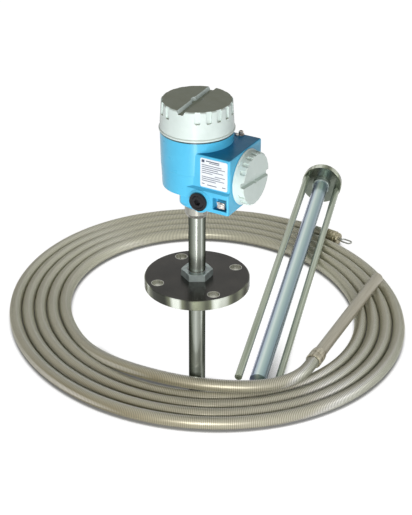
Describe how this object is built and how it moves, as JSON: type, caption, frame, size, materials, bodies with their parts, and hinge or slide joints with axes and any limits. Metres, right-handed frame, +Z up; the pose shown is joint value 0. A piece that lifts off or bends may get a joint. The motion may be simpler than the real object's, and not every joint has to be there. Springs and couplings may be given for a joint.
{
  "type": "tank temperature probe",
  "caption": "Tank probe set: blue converter head with screw covers on a flanged steel stem, a coil of metal hose with end pipe, and a rod-guarded bottom electrode.",
  "frame": {"origin": "centre of the flange's underside, on the stem's axis", "axes": "+Z up the stem to the head, +X along the terminal compartment's axis, -Y towards the name plate"},
  "size_m": [0.7774, 0.9119, 0.5407],
  "materials": {
    "housing_blue": "glossy sky-blue powder coat",
    "cover_grey": "light grey powder coat",
    "seal_rubber": "matt black",
    "plug_black": "glossy black",
    "bright_steel": "bright turned stainless steel",
    "flange_steel": "turned stainless steel, darker",
    "guard_steel": "polished stainless steel",
    "electrode_gloss": "glossy bluish sleeve",
    "hose_metal": "corrugated flexible metal hose",
    "plate_white": "white printed plate",
    "module_grey": "moulded insert",
    "terminal_dark": "moulded block",
    "screw_brass": "plated",
    "sleeve_white": "hidden lining"
  },
  "bodies": {
    "probe": {"bushing_sleeve": "sleeve_white", "collar_grub_screws": "bright_steel", "cover_lock_clip": "bright_steel", "electrode": "electrode_gloss", "electrode_hub": "electrode_gloss", "electronics_module": "module_grey", "end_cap": "bright_steel", "end_coupling": "bright_steel", "end_pipe": "bright_steel", "end_plate": "guard_steel", "flange": "flange_steel", "front_entry_gasket": "seal_rubber", "ground_clamp": "bright_steel", "guard_rod_left": "guard_steel", "guard_rod_right": "guard_steel", "hex_bushing": "bright_steel", "hose_coil": "hose_metal", "hose_ferrule": "bright_steel", "hose_lead": "hose_metal", "hose_tail": "hose_metal", "housing": "housing_blue", "module_screws": "screw_brass", "name_plate": "plate_white", "neck_collar": "bright_steel", "rear_entry_gasket": "seal_rubber", "stem": "bright_steel", "terminal_block": "terminal_dark", "terminal_screws": "screw_brass"},
    "top_seal": {"top_cover_seal": "seal_rubber"},
    "top_lid": {"top_cover": "cover_grey"},
    "side_seal": {"terminal_cover_seal": "seal_rubber"},
    "side_lid": {"terminal_cover": "cover_grey"},
    "front_plug": {"front_entry_plug": "plug_black"},
    "rear_plug": {"rear_entry_plug": "plug_black"},
    "lock_bolt": {"cover_lock_screw": "bright_steel"},
    "ground_bolt": {"ground_screw": "bright_steel"},
    "swivel_eye": {"weight_eye": "bright_steel"}
  },
  "joints": [
    {"name": "top_cover_travel", "type": "slide", "parent": "probe", "child": "top_seal", "axis": [0, 0, 1], "range_m": [0, 0.0111]},
    {"name": "top_cover_turn", "type": "hinge", "parent": "top_seal", "child": "top_lid", "pos_m": [0, 0, 0.2835], "axis": [0, 0, 1], "range_deg": [0, 1980]},
    {"name": "terminal_cover_travel", "type": "slide", "parent": "probe", "child": "side_seal", "axis": [1, 0, 0], "range_m": [0, 0.0111]},
    {"name": "terminal_cover_turn", "type": "hinge", "parent": "side_seal", "child": "side_lid", "pos_m": [0.0883, 0, 0.2196], "axis": [1, 0, 0], "range_deg": [0, 1980]},
    {"name": "front_plug_turn", "type": "hinge", "parent": "probe", "child": "front_plug", "pos_m": [0.036, -0.057, 0.1874], "axis": [0, -1, 0], "range_deg": [0, 720]},
    {"name": "rear_plug_turn", "type": "hinge", "parent": "probe", "child": "rear_plug", "pos_m": [0.036, 0.057, 0.1874], "axis": [0, 1, 0], "range_deg": [0, 720]},
    {"name": "cover_lock_turn", "type": "hinge", "parent": "probe", "child": "lock_bolt", "pos_m": [0.054, 0.046, 0.268], "axis": [0, 0, 1], "range_deg": [0, 720]},
    {"name": "ground_screw_turn", "type": "hinge", "parent": "probe", "child": "ground_bolt", "pos_m": [0.0725, -0.046, 0.1869], "axis": [0, -1, 0], "range_deg": [0, 720]},
    {"name": "weight_eye_swivel", "type": "hinge", "parent": "probe", "child": "swivel_eye", "pos_m": [-0.04598, 0.61099, -0.1951], "axis": [0.9903, -0.1388, 0], "continuous": true}
  ],
  "couplings": [
    {"joint": "top_cover_travel", "follows": "top_cover_turn", "m_per_rad": 0.00031831},
    {"joint": "terminal_cover_travel", "follows": "terminal_cover_turn", "m_per_rad": 0.00031831}
  ]
}
